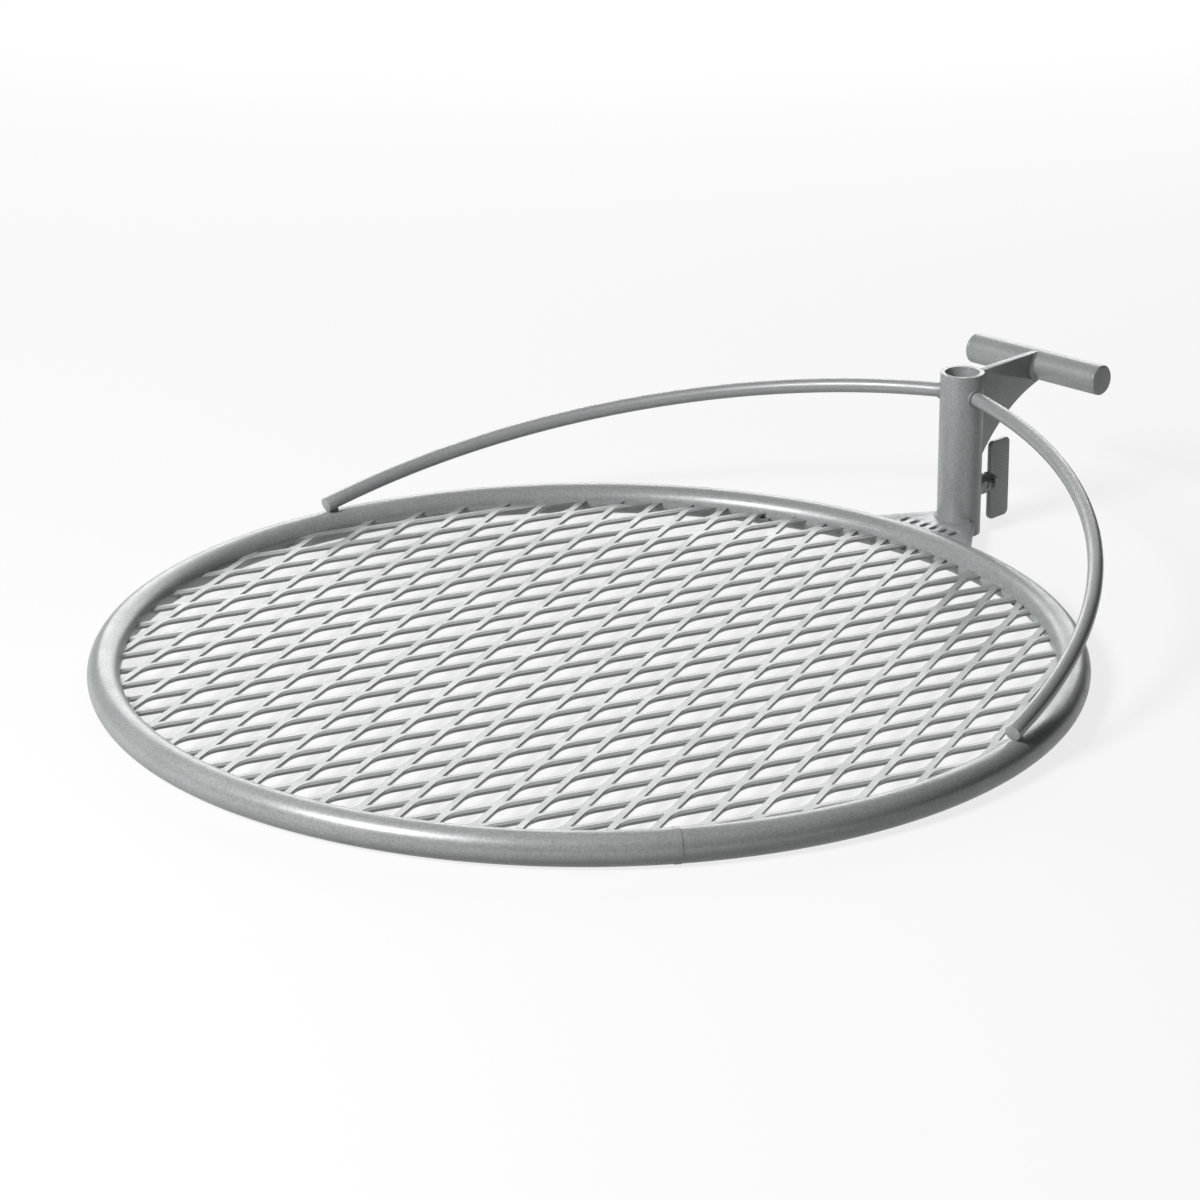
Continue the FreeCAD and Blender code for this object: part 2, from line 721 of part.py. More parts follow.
def make_handle_tube():
    """The cross bar, a tube between its two end caps."""
    body = new_body("handle_body")
    section = new_sketch(body, "handle_section", "YZ_Plane")
    add_circle(section, "Sizes.handle_reach", HANDLE_LEVEL, "Sizes.handle_diameter / 2")
    add_circle(section, "Sizes.handle_reach", HANDLE_LEVEL, "Sizes.handle_diameter / 2 - Sizes.handle_wall")
    add_pad(body, section, "Sizes.handle_length - 2 * Sizes.cap_thickness", midplane=True)
    return keep("handle_tube", body)


def make_handle_end_caps():
    """Two discs with a chamfered outer edge."""
    disc = doc.addObject("Part::Cylinder", "cap_disc")
    disc.setExpression("Radius", "Sizes.handle_diameter / 2")
    disc.setExpression("Height", "Sizes.cap_thickness")
    disc.Placement = Placement(Vector(), Rotation(OUTWARD, 90))
    disc.setExpression("Placement.Base.x", "Sizes.handle_length / 2 - Sizes.cap_thickness")
    disc.setExpression("Placement.Base.y", "Sizes.handle_reach")
    disc.setExpression("Placement.Base.z", HANDLE_LEVEL)
    doc.recompute()
    middle = (size("handle_length") - size("cap_thickness")) / 2
    rims = [(i, edge) for i, edge in enumerate(disc.Shape.Edges, start=1) if edge.Closed]
    outer = [i for i, edge in rims if edge.CenterOfMass.x > middle]
    cap = doc.addObject("Part::Chamfer", "cap_right")
    cap.Base = disc
    cap.Edges = [(i, size("cap_chamfer"), size("cap_chamfer")) for i in outer]
    other = doc.addObject("Part::Mirroring", "cap_left")
    other.Source = cap
    other.Normal = (1, 0, 0)
    pair = doc.addObject("Part::Compound", "caps")
    pair.Links = [cap, other]
    return keep("handle_end_caps", pair)


# Clamp screw


def lay_outward(item, distance):
    """Turns a feature built along Z to lie along the screw's axis, a given expression away from the post."""
    item.Placement = Placement(Vector(), Rotation(Vector(1, 0, 0), -90))
    item.setExpression("Placement.Base.y", distance)
    item.setExpression("Placement.Base.z", SCREW_LEVEL)
    return item


def screw_cylinder(name, radius, length, distance):
    """A cylinder on the screw's axis."""
    item = doc.addObject("Part::Cylinder", name)
    item.setExpression("Radius", radius)
    item.setExpression("Height", length)
    return lay_outward(item, distance)


def make_nut_prism():
    """A hexagon prism on the screw's axis, with two flats upright."""
    prism = doc.addObject("Part::Prism", "nut_prism")
    prism.Polygon = 6
    prism.setExpression("Circumradius", "Sizes.nut_flats / 2 / cos(30)")
    prism.setExpression("Height", "Sizes.nut_height")
    prism.Placement = Placement(Vector(), Rotation(Vector(1, 0, 0), -90).multiply(Rotation(UP, 30)))
    prism.setExpression("Placement.Base.y", "Sizes.sleeve_diameter / 2")
    prism.setExpression("Placement.Base.z", SCREW_LEVEL)
    return prism


def screw_cone(name, first, second, length, distance):
    """A blunt cone on the screw's axis, with its first radius nearer the post."""
    item = doc.addObject("Part::Cone", name)
    item.setExpression("Radius1", first)
    item.setExpression("Radius2", second)
    item.setExpression("Height", length)
    return lay_outward(item, distance)


def boolean(kind, name, first, second):
    """A cut, fuse or common of two features."""
    item = doc.addObject("Part::" + kind, name)
    item.Base = first
    item.Tool = second
    return item


def make_clamp_nut():
    """A hexagon nut standing on the sleeve's outer side, with its outer corners chamfered."""
    corner = "Sizes.nut_flats / 2 / cos(30)"
    cone = screw_cone(
        "nut_cone",
        corner + " + 2 * Sizes.nut_height - Sizes.nut_chamfer",
        corner + " - Sizes.nut_chamfer",
        "Sizes.nut_height",
        "Sizes.sleeve_diameter / 2",
    )
    blank = boolean("Common", "nut_blank", make_nut_prism(), cone)
    bore = screw_cylinder(
        "nut_bore",
        "Sizes.screw_diameter / 2 + Sizes.screw_clearance",
        "3 * Sizes.nut_height",
        "Sizes.sleeve_diameter / 2 - Sizes.nut_height",
    )
    return keep("clamp_nut", boolean("Cut", "nut", blank, bore))


def make_clamp_nut_weld():
    """A bead that fills between the nut's flat base and the round sleeve."""
    leg = size("nut_weld_leg")
    corner = size("nut_flats") / 2 / math.cos(math.radians(30))
    level = number(SCREW_LEVEL)
    low = math.sqrt(SLEEVE_RADIUS**2 - (corner + leg) ** 2)
    cone = Part.makeCone(corner + leg, corner, SLEEVE_RADIUS + leg - low, Vector(0, low, level), OUTWARD)
    hole_radius = size("screw_diameter") / 2 + size("hole_clearance")
    hole = Part.makeCylinder(hole_radius, 2 * SLEEVE_RADIUS, Vector(0, 0, level), OUTWARD)
    bead = cone.cut([sleeve_solid(), parts["clamp_nut"].Shape, hole])
    outer = max(bead.Solids, key=lambda item: item.Volume)
    return keep("clamp_nut_weld", solid_feature("nut_bead", outer))


def washer(index):
    """A flat washer, loose on the screw; index counts them from the nut."""
    place = NUT_FACE + " + Sizes.washer_gap + %d * (Sizes.washer_thickness + Sizes.washer_spacing)" % index
    name = "washer_%d" % index
    disc = screw_cylinder(name + "_disc", "Sizes.washer_diameter / 2", "Sizes.washer_thickness", place)
    hole = screw_cylinder(
        name + "_hole",
        "Sizes.screw_diameter / 2 + Sizes.washer_clearance",
        "3 * Sizes.washer_thickness",
        place + " - Sizes.washer_thickness",
    )
    return boolean("Cut", name, disc, hole)


def make_clamp_washers():
    """Two flat washers between the nut and the wing."""
    pair = doc.addObject("Part::Compound", "washers")
    pair.Links = [washer(0), washer(1)]
    return keep("clamp_washers", pair)


def make_clamp_screw():
    """A headless screw whose chamfered tip stands just inside the sleeve's wall."""
    shank_start = "(%s + Sizes.tip_chamfer)" % SCREW_TIP
    radius = "Sizes.screw_diameter / 2"
    shank = screw_cylinder("shank", radius, "%s - %s" % (WING_FACE, shank_start), shank_start)
    tip = screw_cone("tip", radius + " - Sizes.tip_chamfer", radius, "Sizes.tip_chamfer", SCREW_TIP)
    return keep("clamp_screw", boolean("Fuse", "screw", shank, tip))


def make_wing_plate():
    """A rounded plate on edge, standing against the end of the screw."""
    body = new_body("wing_body")
    far = "(%s + Sizes.wing_width)" % WING_FACE
    top = "(%s + Sizes.wing_height / 2)" % SCREW_LEVEL
    low = "(%s - Sizes.wing_height / 2)" % SCREW_LEVEL
    outline = new_sketch(body, "wing_outline", "YZ_Plane")
    add_outline(outline, [(WING_FACE, low), (far, low), (far, top), (WING_FACE, top)])
    pad = add_pad(body, outline, "Sizes.wing_thickness", midplane=True)
    doc.recompute()
    corners = [(number(y), number(z)) for y in (WING_FACE, far) for z in (low, top)]
    round_edges = []
    for i, edge in enumerate(pad.Shape.Edges, start=1):
        middle = edge.CenterOfMass
        if any(math.hypot(middle.y - y, middle.z - z) < MATCH for y, z in corners):
            round_edges.append("Edge%d" % i)
    corner = body.newObject("PartDesign::Fillet", "wing_corners")
    corner.Base = (pad, round_edges)
    corner.setExpression("Radius", "Sizes.wing_corner")
    return keep("wing_plate", body)


def make_wing_welds():
    """A collar of weld round the end of the screw that tapers off along both faces of the wing."""
    radius = size("screw_diameter") / 2
    crest = radius + size("wing_weld_leg")
    half = size("wing_thickness") / 2
    face = number(WING_FACE)
    lead = size("wing_weld_lead")
    collar = Part.makeCone(radius, crest, lead, Vector(0, face - lead, number(SCREW_LEVEL)), OUTWARD)
    tail = Part.makeCone(
        crest, half, size("wing_weld_length"), Vector(0, face, number(SCREW_LEVEL)), OUTWARD
    )
    bead = collar.fuse(tail).cut([parts["wing_plate"].Shape, parts["clamp_screw"].Shape])
    return keep("wing_welds", solid_feature("wing_bead", single(bead.removeSplitter())))


def check_and_write():
    """Stops on any failed object or bad shape, then writes each sub-part."""
    failed = [item.Label for item in doc.Objects if "Invalid" in item.State or "Error" in item.State]
    for node, item in parts.items():
        shape = item.Shape
        print("%-22s solids %2d volume %10.1f" % (node, len(shape.Solids), shape.Volume))
        if shape.isNull() or not shape.isValid() or not shape.Solids or shape.Volume <= 0:
            failed.append(node)
    if failed:
        raise RuntimeError("failed: " + ", ".join(failed))
    os.makedirs("parts", exist_ok=True)
    for node, item in parts.items():
        item.Shape.exportStep(os.path.join("parts", node + ".step"))


make_rim_ring()
make_rim_butt_weld()
make_mesh_deck()
make_mesh_tack_welds()
make_support_plate()
make_plate_rim_welds()
make_plate_sleeve_welds()
make_post_sleeve()
make_brace_rods()
make_rod_sleeve_welds()
make_rod_foot_welds()
make_handle_gusset()
make_gusset_sleeve_welds()
make_gusset_handle_welds()
make_handle_tube()
make_handle_end_caps()
make_clamp_nut()
doc.recompute()
make_clamp_nut_weld()
make_clamp_washers()
make_clamp_screw()
make_wing_plate()
doc.recompute()
make_wing_welds()
doc.recompute()
check_and_write()
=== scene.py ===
"""A round swing-out grill grate of satin steel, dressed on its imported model. Lengths are metres. The grate lies
towards -Y of its post sleeve, and +Z is up."""

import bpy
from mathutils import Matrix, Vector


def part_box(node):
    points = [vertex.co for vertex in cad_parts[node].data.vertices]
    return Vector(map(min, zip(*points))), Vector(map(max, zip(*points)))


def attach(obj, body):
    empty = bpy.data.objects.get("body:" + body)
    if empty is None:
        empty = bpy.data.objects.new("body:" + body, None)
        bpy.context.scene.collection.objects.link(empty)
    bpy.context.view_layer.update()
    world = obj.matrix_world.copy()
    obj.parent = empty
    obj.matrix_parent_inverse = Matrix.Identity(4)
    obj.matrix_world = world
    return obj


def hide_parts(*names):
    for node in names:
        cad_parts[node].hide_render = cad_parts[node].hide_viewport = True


bl_info = {
    "name": "Swing-out grill grate",
    "version": (1, 0, 0),
    "blender": (4, 5, 0),
    "location": "3D View > Sidebar > Grill grate",
    "description": (
        "Dresses a packed grill grate with slanting mesh openings, eased edges, a threaded screw and steel finishes"
    ),
    "category": "Object",
}

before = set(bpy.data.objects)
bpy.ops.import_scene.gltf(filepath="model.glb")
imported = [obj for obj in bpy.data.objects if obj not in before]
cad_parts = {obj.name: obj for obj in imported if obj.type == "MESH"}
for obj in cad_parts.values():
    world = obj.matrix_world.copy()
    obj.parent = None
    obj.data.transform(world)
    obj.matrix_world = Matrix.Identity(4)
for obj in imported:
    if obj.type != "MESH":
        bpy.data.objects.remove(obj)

import math

import bmesh
import bpy
import numpy as np
from bpy.props import FloatProperty, FloatVectorProperty, PointerProperty
from mathutils import Matrix, Vector

WHOLE_TURN = 2 * math.pi
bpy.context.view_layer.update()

# Where things stand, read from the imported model


def node_box(node):
    """The lowest and highest corner of a node as arrays."""
    low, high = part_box(node)
    return np.array(low), np.array(high)


RIM_LOW, RIM_HIGH = node_box("rim_ring")
RIM_CENTRE = (RIM_LOW + RIM_HIGH) / 2
TUBE_RADIUS = (RIM_HIGH[2] - RIM_LOW[2]) / 2
RIM_RADIUS = RIM_HIGH[0] - TUBE_RADIUS
SCREW_LOW, SCREW_HIGH = node_box("clamp_screw")
SCREW_RADIUS = (SCREW_HIGH[0] - SCREW_LOW[0]) / 2


# Fixed numbers of the surfaces

RIM_ALONG, RIM_AROUND = 512, 44
RIM_SEAM = math.radians(323.5)
DISC_POINTS = 720
OPENING_TIPS = (2, 5)
DECK_CREASE = math.radians(16)
LEAST_DECK_FACES = 5000
MERGE_DISTANCE = 2e-6
FLAT_ANGLE = math.radians(0.4)
EASED_CREASE = math.radians(50)
THREAD_AROUND, THREAD_STEPS = 48, 14
THREAD_SLOPE, THREAD_CREST = 1.35, 0.15
TIP_CHAMFER = 0.0012

# Fixed numbers of the finishes: noise scales are per metre

NOISE_MIDDLE = (0.3, 0.7)
SPECKLE_SCALE, CLOUD_SCALE, GLOSS_SCALE, GRAIN_SCALE, RIPPLE_SCALE = 520.0, 14.0, 45.0, 1300.0, 420.0
STREAK_SCALE = (6.0, 900.0, 1.0)
CLOUD = 0.05
GRAIN_HEIGHT, GRAIN_STRENGTH = 0.00002, 0.35
BEAD_ROUGHNESS = 0.36
LAMP_AIM = (0, -0.3, 0.03)


# Sizes and colours that a user may change


# Corners of the expanded metal's two openings from the lower tip, clockwise, as x and y by turns
LONG_OPENING = (0, 0, -0.0129, 0.0319, -0.0129, 0.0404, -0.0014, 0.0701, 0.0111, 0.0387, 0.0111, 0.0296)
SHORT_OPENING = (0, 0, -0.0114, 0.0294, -0.0114, 0.0372, -0.0005, 0.0645, 0.0103, 0.0358, 0.0103, 0.0261)


class DeckSizes(bpy.types.PropertyGroup):
    """Expanded metal. Distances across the grate are along X, those along it are along Y."""

    long_pitch: FloatProperty(
        name="Long pitch", description="Distance between openings along the grate", default=0.0768, unit="LENGTH"
    )
    short_pitch: FloatProperty(
        name="Short pitch", description="Distance between openings across the grate", default=0.0337, unit="LENGTH"
    )
    long_opening: FloatVectorProperty(
        name="Long opening", description="Corners of the long opening, as x and y from its lower tip", size=12,
        default=LONG_OPENING, unit="LENGTH"
    )
    short_opening: FloatVectorProperty(
        name="Short opening", description="Corners of the short opening, as x and y from its lower tip", size=12,
        default=SHORT_OPENING, unit="LENGTH"
    )
    long_start: FloatVectorProperty(
        name="Long start", description="Lower tip of one long opening, from the rim's middle", size=2,
        default=(-0.04974, 0.00658), unit="LENGTH"
    )
    short_start: FloatVectorProperty(
        name="Short start", description="Lower tip of one short opening, from the rim's middle", size=2,
        default=(-0.0333, -0.02902), unit="LENGTH"
    )
    lie: FloatProperty(
        name="Lie", description="Turn of the whole pattern", default=math.radians(0.37), subtype="ANGLE"
    )
    tip_rounding: FloatProperty(
        name="Tip rounding", description="How far the rounding reaches from a tip", default=0.0012, unit="LENGTH"
    )
    corner_rounding: FloatProperty(
        name="Corner rounding", description="How far the rounding reaches from a corner", default=0.0035, unit="LENGTH"
    )
    top_level: FloatProperty(
        name="Top level", description="Height of the sheet's top over the rim's middle", default=0.0019, unit="LENGTH"
    )
    shoulder: FloatVectorProperty(
        name="Shoulder", description="Run and drop of the strands' sloping shoulder", subtype="XYZ",
        default=(0.0018, -0.00385, -0.0008)
    )
    wall: FloatVectorProperty(
        name="Wall", description="Run and drop of the strands' side walls", subtype="XYZ",
        default=(-0.0012, 0.0, -0.00275)
    )
    edge_chamfer: FloatProperty(
        name="Edge chamfer", description="Chamfer of the strands' top edges", default=0.0002, unit="LENGTH"
    )
    edge_bite: FloatProperty(
        name="Edge bite", description="How far the sheet's edge reaches into the rim's wall", default=0.0004,
        unit="LENGTH"
    )


class EdgeSizes(bpy.types.PropertyGroup):
    """Eased edges and thread."""

    plate_edge: FloatProperty(
        name="Plate edge", description="Rounding of the plates' edges", default=0.0005, unit="LENGTH"
    )
    tube_edge: FloatProperty(
        name="Tube edge", description="Rounding of tube and rod ends", default=0.0006, unit="LENGTH"
    )
    fastener_edge: FloatProperty(
        name="Fastener edge", description="Rounding of nut and washers", default=0.0003, unit="LENGTH"
    )
    thread_pitch: FloatProperty(
        name="Thread pitch", description="Travel of the screw per turn", default=0.001814, unit="LENGTH"
    )
    thread_depth: FloatProperty(
        name="Thread depth", description="Depth of the thread", default=0.001, unit="LENGTH"
    )


class SteelFinish(bpy.types.PropertyGroup):
    """Colours and gloss of the steel."""

    pipe_colour: FloatVectorProperty(
        name="Pipe", description="Colour of rim, rods and handle", subtype="COLOR", default=(0.42, 0.428, 0.43)
    )
    mesh_colour: FloatVectorProperty(
        name="Mesh", description="Colour of the expanded metal", subtype="COLOR", default=(0.42, 0.428, 0.43)
    )
    plate_colour: FloatVectorProperty(
        name="Plate", description="Colour of plates and sleeve", subtype="COLOR", default=(0.41, 0.418, 0.422)
    )
    fastener_colour: FloatVectorProperty(
        name="Fastener", description="Colour of nut, washers and screw", subtype="COLOR", default=(0.38, 0.388, 0.395)
    )
    weld_colour: FloatVectorProperty(
        name="Weld", description="Colour of the weld beads", subtype="COLOR", default=(0.32, 0.327, 0.33)
    )
    gloss: FloatProperty(name="Roughness", description="Roughness of the satin steel", default=0.37, min=0, max=1)
    metal: FloatProperty(
        name="Metal", description="Share of the shine that is bare metal; the rest is its dull skin", default=0.2,
        min=0, max=1
    )


class StageSettings(bpy.types.PropertyGroup):
    """Camera, floor and light."""

    camera_place: FloatVectorProperty(
        name="Camera", description="Place of the camera", subtype="XYZ", default=(2.2524, -2.7783, 1.2582)
    )
    azimuth: FloatProperty(
        name="Azimuth", description="Turn of the camera", default=math.radians(44.059), subtype="ANGLE"
    )
    elevation: FloatProperty(
        name="Elevation", description="How far the camera looks down", default=math.radians(20.353), subtype="ANGLE"
    )
    roll: FloatProperty(
        name="Roll", description="Lean of the camera", default=math.radians(-0.17), subtype="ANGLE"
    )
    lens: FloatProperty(name="Lens", description="Focal length in millimetres", default=129.56)
    floor_size: FloatProperty(name="Floor", description="Half the floor's side", default=30.0, unit="LENGTH")
    floor_white: FloatProperty(
        name="Floor white", description="Share of plain white in the floor that is seen", default=0.8, min=0, max=1
    )
    floor_grey: FloatProperty(
        name="Floor grey", description="Grey of the floor for the light it throws back", default=0.06, min=0, max=1
    )
    sky: FloatProperty(name="Sky", description="Strength of the light from all round", default=0.07)
    back_light: FloatProperty(name="Back light", description="Power of the low lamp behind", default=55.0, unit="POWER")
    back_place: FloatVectorProperty(
        name="Back lamp", description="Place of the lamp behind", subtype="XYZ", default=(-2.1, 1.9, 1.15)
    )
    back_size: FloatVectorProperty(
        name="Back lamp size", description="Width and height of the lamp behind", size=2, default=(3.2, 1.3),
        unit="LENGTH"
    )
    key_light: FloatProperty(name="Key light", description="Power of the lamp in front", default=88.0, unit="POWER")
    key_place: FloatVectorProperty(
        name="Key lamp", description="Place of the lamp in front", subtype="XYZ", default=(-0.3, -2.7, 1.95)
    )
    key_size: FloatVectorProperty(
        name="Key lamp size", description="Width and height of the lamp in front", size=2, default=(0.9, 0.8),
        unit="LENGTH"
    )


# Surfaces


def grid_faces(rows, columns, close_rows=False):
    """Quads of a grid of points, as an array of point numbers: each point is joined to the next one in its row,
    round the end, and to the one in the next row. The last row is joined to the first if close_rows is true."""
    last_row = rows if close_rows else rows - 1
    row, column = np.meshgrid(np.arange(last_row), np.arange(columns), indexing="ij")
    next_row, next_column = (row + 1) % rows, (column + 1) % columns
    corners = [row * columns + column, row * columns + next_column]
    corners += [next_row * columns + next_column, next_row * columns + column]
    return np.stack(corners, -1).reshape(-1, 4)


def mesh_object(name, points, faces, uv=None, sharp=30.0):
    """A mesh object from arrays. Corners sharper than the angle stay crisp; uv has one pair for each corner."""
    mesh = bpy.data.meshes.new(name)
    mesh.from_pydata(points.tolist(), [], [list(face) for face in faces])
    if uv is not None:
        layer = mesh.uv_layers.new(name="along")
        layer.data.foreach_set("uv", np.asarray(uv, np.float32).ravel())
    mesh.polygons.foreach_set("use_smooth", np.ones(len(mesh.polygons), bool))
    mesh.set_sharp_from_angle(angle=math.radians(sharp))
    mesh.update()
    item = bpy.data.objects.new(name, mesh)
    bpy.context.scene.collection.objects.link(item)
    return item


def dress(item, node, material, body):
    """Puts a new piece in a node's place."""
    item.data.materials.clear()
    item.data.materials.append(material)
    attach(item, body)
    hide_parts(node)


def settle(item):
    """Replaces an object's mesh by what its modifiers make of it."""
    graph = bpy.context.evaluated_depsgraph_get()
    mesh = bpy.data.meshes.new_from_object(item.evaluated_get(graph))
    old = item.data
    item.modifiers.clear()
    item.data = mesh
    bpy.data.meshes.remove(old)


def eased_copy(node, name, width, sharp=32.0):
    """A copy of a node with small rounds on its sharp edges: loose triangles are merged, flat ones joined, and
    every edge whose faces turn by more than the angle gets a round of the given width."""
    shell = bmesh.new()
    shell.from_mesh(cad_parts[node].data)
    bmesh.ops.remove_doubles(shell, verts=shell.verts, dist=MERGE_DISTANCE)
    bmesh.ops.dissolve_limit(
        shell, angle_limit=FLAT_ANGLE, verts=shell.verts, edges=shell.edges, use_dissolve_boundaries=False
    )
    mesh = bpy.data.meshes.new(name)
    shell.to_mesh(mesh)
    shell.free()
    item = bpy.data.objects.new(name, mesh)
    bpy.context.scene.collection.objects.link(item)
    ease = item.modifiers.new("ease", "BEVEL")
    ease.width = width
    ease.segments = 2
    ease.limit_method = "ANGLE"
    ease.angle_limit = math.radians(sharp)
    ease.use_clamp_overlap = True
    ease.miter_outer = "MITER_ARC"
    settle(item)
    item.data.polygons.foreach_set("use_smooth", np.ones(len(item.data.polygons), bool))
    item.data.set_sharp_from_angle(angle=EASED_CREASE)
    return item


# Steel


class NodeTree:
    """Short ways to add and join shader nodes."""

    def __init__(self, tree):
        self.tree = tree
        self.tree.nodes.clear()

    def add(self, kind, **values):
        """A node with the given settings; a key that names an input sets that input."""
        node = self.tree.nodes.new(kind)
        for key, value in values.items():
            if key in node.inputs:
                node.inputs[key].default_value = value
            else:
                setattr(node, key, value)
        return node

    def join(self, source, target):
        """Joins two sockets."""
        self.tree.links.new(source, target)


def noise(nodes, coordinate, scale, detail=2.0, roughness=0.5):
    """A noise pattern on a coordinate."""
    pattern = nodes.add("ShaderNodeTexNoise", Scale=scale, Detail=detail, Roughness=roughness)
    nodes.join(coordinate, pattern.inputs["Vector"])
    return pattern.outputs["Fac"]


def spread(nodes, source, low, high):
    """Carries the middle of a pattern onto a range of values."""
    band = nodes.add("ShaderNodeMapRange")
    band.inputs["From Min"].default_value, band.inputs["From Max"].default_value = NOISE_MIDDLE
    band.inputs["To Min"].default_value = low
    band.inputs["To Max"].default_value = high
    nodes.join(source, band.inputs["Value"])
    return band.outputs["Result"]


def product(nodes, first, second):
    """The product of two values."""
    node = nodes.add("ShaderNodeMath", operation="MULTIPLY")
    nodes.join(first, node.inputs[0])
    nodes.join(second, node.inputs[1])
    return node.outputs[0]


def steel(name, finish, colour, roughness, speckle=0.1, streak=0.0, ripple=0.0):
    """Satin steel. Its colour is the base colour times a fine speckle and slow clouds, its roughness follows
    another noise, and a fine grain lifts the surface. streak adds fine lines along the piece's own UV map, and
    ripple adds the small waves of a weld bead."""
    material = bpy.data.materials.new(name)
    material.use_nodes = True
    nodes = NodeTree(material.node_tree)
    place = nodes.add("ShaderNodeTexCoord")
    spots = spread(nodes, noise(nodes, place.outputs["Object"], SPECKLE_SCALE), 1 - speckle, 1 + speckle)
    clouds = spread(nodes, noise(nodes, place.outputs["Object"], CLOUD_SCALE, 4.0, 0.6), 1 - CLOUD, 1 + CLOUD)
    tone = product(nodes, spots, clouds)
    patches = noise(nodes, place.outputs["Object"], GLOSS_SCALE, 5.0, 0.6)
    gloss = spread(nodes, patches, roughness - 0.05, roughness + 0.06)
    height = noise(nodes, place.outputs["Object"], GRAIN_SCALE)
    if streak:
        stretch = nodes.add("ShaderNodeMapping")
        stretch.inputs["Scale"].default_value = STREAK_SCALE
        nodes.join(place.outputs["UV"], stretch.inputs["Vector"])
        lines = noise(nodes, stretch.outputs["Vector"], 1.0, 4.0, 0.6)
        tone = product(nodes, tone, spread(nodes, lines, 1 - streak, 1 + streak))
        gloss = product(nodes, gloss, spread(nodes, lines, 0.92, 1.08))
    if ripple:
        waves = noise(nodes, place.outputs["Object"], RIPPLE_SCALE, 1.0)
        lift = nodes.add("ShaderNodeMath", operation="MULTIPLY_ADD")
        lift.inputs[1].default_value = ripple
        nodes.join(waves, lift.inputs[0])
        nodes.join(height, lift.inputs[2])
        height = lift.outputs[0]
    shade = nodes.add("ShaderNodeVectorMath", operation="SCALE")
    shade.inputs[0].default_value = tuple(colour)
    nodes.join(tone, shade.inputs["Scale"])
    bump = nodes.add("ShaderNodeBump", Strength=GRAIN_STRENGTH, Distance=GRAIN_HEIGHT)
    nodes.join(height, bump.inputs["Height"])
    surface = nodes.add("ShaderNodeBsdfPrincipled", Metallic=finish.metal)
    nodes.join(shade.outputs[0], surface.inputs["Base Color"])
    nodes.join(gloss, surface.inputs["Roughness"])
    nodes.join(bump.outputs["Normal"], surface.inputs["Normal"])
    output = nodes.add("ShaderNodeOutputMaterial")
    nodes.join(surface.outputs[0], output.inputs["Surface"])
    return material


def repaint(node, material):
    """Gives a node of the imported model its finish."""
    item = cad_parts[node]
    item.data.materials.clear()
    item.data.materials.append(material)


# Rim


def rim_surface():
    """A closed ring: the point at angles u round the ring and v round the pipe lies at distance R + r cos v from
    the ring's middle and at height r sin v. The seam is where u starts."""
    along, around = RIM_ALONG, RIM_AROUND
    u = RIM_SEAM + np.linspace(0, WHOLE_TURN, along, endpoint=False)
    v = np.linspace(0, WHOLE_TURN, around, endpoint=False)
    big, small = np.meshgrid(u, v, indexing="ij")
    reach = RIM_RADIUS + TUBE_RADIUS * np.cos(small)
    points = np.stack([reach * np.cos(big), reach * np.sin(big), TUBE_RADIUS * np.sin(small)], -1)
    faces = grid_faces(along, around, close_rows=True)[:, ::-1]
    first, second = np.divmod(faces, around)
    last_row, last_column = first.max(1) - first.min(1) > 1, second.max(1) - second.min(1) > 1
    first = np.where(last_row[:, None] & (first == 0), along, first)
    second = np.where(last_column[:, None] & (second == 0), around, second)
    lengths = np.stack([first * (WHOLE_TURN * RIM_RADIUS / along), second * (WHOLE_TURN * TUBE_RADIUS / around)], -1)
    return points.reshape(-1, 3) + RIM_CENTRE, faces, lengths.reshape(-1, 2)


class GRATE_OT_rim(bpy.types.Operator):
    """Makes the pipe rim and finishes its butt seam"""

    bl_idname = "grate.rim"
    bl_label = "Rim"

    def execute(self, context):
        finish = context.scene.grate_finish
        pipe = steel("rim_satin_steel", finish, finish.pipe_colour, finish.gloss, speckle=0.15, streak=0.04)
        points, faces, lengths = rim_surface()
        dress(mesh_object("rim_pipe", points, faces, lengths), "rim_ring", pipe, "grate")
        repaint("rim_butt_weld", steel("rim_seam_steel", finish, finish.pipe_colour, finish.gloss + 0.06, ripple=0.6))
        return {"FINISHED"}


# Expanded metal


def opening_outline(sizes, long):
    """One opening at the top of the sheet: its six corners rounded by quadratic arcs, tips less than the others.
    Long openings alternate with short ones."""
    corners = np.array(sizes.long_opening if long else sizes.short_opening).reshape(6, 2)[::-1]
    points = []
    shares = np.linspace(0, 1, 5)[:, None]
    for i, corner in enumerate(corners):
        before, after = corners[i - 1], corners[(i + 1) % len(corners)]
        reach = sizes.tip_rounding if i in OPENING_TIPS else sizes.corner_rounding
        start = corner + (before - corner) / np.linalg.norm(before - corner) * reach
        end = corner + (after - corner) / np.linalg.norm(after - corner) * reach
        points.append((1 - shares) ** 2 * start + 2 * shares * (1 - shares) * corner + shares**2 * end)
    return np.concatenate(points)


def grown(outline, distance):
    """An outline pushed outward by a distance, each point along the mean of its two sides' normals."""
    sides = np.roll(outline, -1, 0) - outline
    normals = np.stack([sides[:, 1], -sides[:, 0]], -1) / np.linalg.norm(sides, axis=1)[:, None]
    middle = normals + np.roll(normals, 1, 0)
    return outline + middle * (distance / (middle * normals).sum(1))[:, None]


